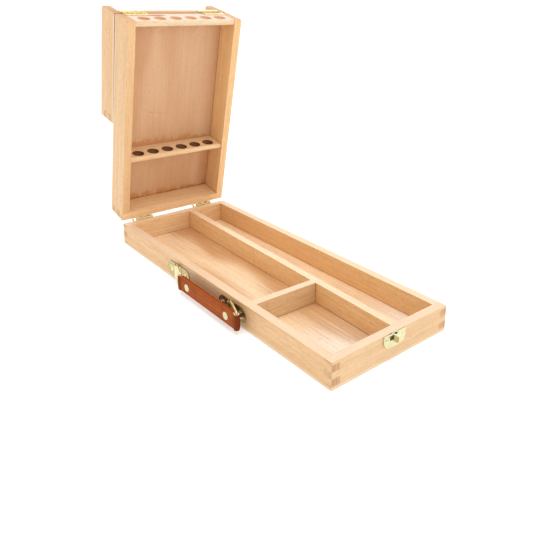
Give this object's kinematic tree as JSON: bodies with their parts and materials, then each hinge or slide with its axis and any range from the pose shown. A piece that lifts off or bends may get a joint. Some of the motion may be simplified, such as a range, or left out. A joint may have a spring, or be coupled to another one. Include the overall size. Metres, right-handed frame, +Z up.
{
  "type": "brush box",
  "caption": "Wooden brush box with a tray, a two-section lid that turns up and folds back, drilled brush racks, a lever catch and a strap handle on folding rings.",
  "frame": {"origin": "centre of the tray's underside", "axes": "+Z up, +X along the box's length towards the catch, -Y the side with the handle; the lid stands open"},
  "size_m": [0.455, 0.1659, 0.3001],
  "materials": {
    "beech": "clear satin lacquer on beech",
    "plywood": "thin beech plywood, satin lacquer",
    "brass": "pressed sheet and wire, bright brass plate",
    "brass_fasteners": "polished brass",
    "leather": "smooth reddish-brown strap leather"
  },
  "bodies": {
    "tray": {"tray_front_board": "beech", "tray_back_board": "beech", "tray_hinge_end_board": "beech", "tray_latch_end_board": "beech", "tray_bottom": "plywood", "long_divider": "beech", "cross_divider": "beech", "lid_hinge_front_tray_leaf": "brass", "lid_hinge_back_tray_leaf": "brass", "lid_hinge_tray_nails": "brass_fasteners", "lid_hinge_pins": "brass_fasteners", "handle_plate_left": "brass", "handle_plate_right": "brass", "handle_screws": "brass_fasteners", "keeper_plate": "brass", "keeper_nails": "brass_fasteners"},
    "long_section": {"lid_long_front_board": "beech", "lid_long_back_board": "beech", "lid_hinge_end_board": "beech", "lid_long_panel": "plywood", "end_rack": "beech", "middle_rack": "beech", "lid_hinge_front_lid_leaf": "brass", "lid_hinge_back_lid_leaf": "brass", "lid_hinge_lid_nails": "brass_fasteners", "section_hinge_front_inner_leaf": "brass", "section_hinge_back_inner_leaf": "brass", "section_hinge_inner_nails": "brass_fasteners", "section_hinge_pins": "brass_fasteners"},
    "short_section": {"lid_short_front_board": "beech", "lid_short_back_board": "beech", "lid_latch_end_board": "beech", "lid_short_panel": "plywood", "hinge_batten": "beech", "section_hinge_front_outer_leaf": "brass", "section_hinge_back_outer_leaf": "brass", "section_hinge_outer_nails": "brass_fasteners", "latch_plate": "brass", "latch_nails": "brass_fasteners", "latch_pin": "brass_fasteners"},
    "latch_lever": {"latch_lever": "brass"},
    "ring_left": {"ring_left": "brass"},
    "ring_right": {"ring_right": "brass"},
    "strap": {"leather_strap": "leather", "strap_rivets": "brass_fasteners"}
  },
  "joints": [
    {"name": "lid_hinge", "type": "hinge", "parent": "tray", "child": "long_section", "pos_m": [-0.2031, 0, 0.0274], "axis": [0, 1, 0], "range_deg": [0, 77]},
    {"name": "lid_fold", "type": "hinge", "parent": "long_section", "child": "short_section", "pos_m": [-0.17856, 0, 0.29329], "axis": [0, 1, 0], "range_deg": [0, 180.8]},
    {"name": "latch_turn", "type": "hinge", "parent": "short_section", "child": "latch_lever", "pos_m": [-0.23615, 0, 0.15893], "axis": [0, -1, 0], "range_deg": [0, 5.5]},
    {"name": "ring_left_swing", "type": "hinge", "parent": "tray", "child": "ring_left", "pos_m": [-0.054, -0.0782, 0.0136], "axis": [0, 0, 1], "range_deg": [-148, 8]},
    {"name": "ring_right_swing", "type": "hinge", "parent": "tray", "child": "ring_right", "pos_m": [0.054, -0.0782, 0.0136], "axis": [0, 0, 1], "range_deg": [-148, 8]},
    {"name": "strap_turn", "type": "hinge", "parent": "ring_left", "child": "strap", "pos_m": [-0.03051, -0.08675, 0.0136], "axis": [0, 0, 1], "range_deg": [-8, 148]}
  ],
  "couplings": [
    {"joint": "ring_right_swing", "follows": "ring_left_swing", "ratio": 1},
    {"joint": "strap_turn", "follows": "ring_left_swing", "ratio": -1}
  ]
}
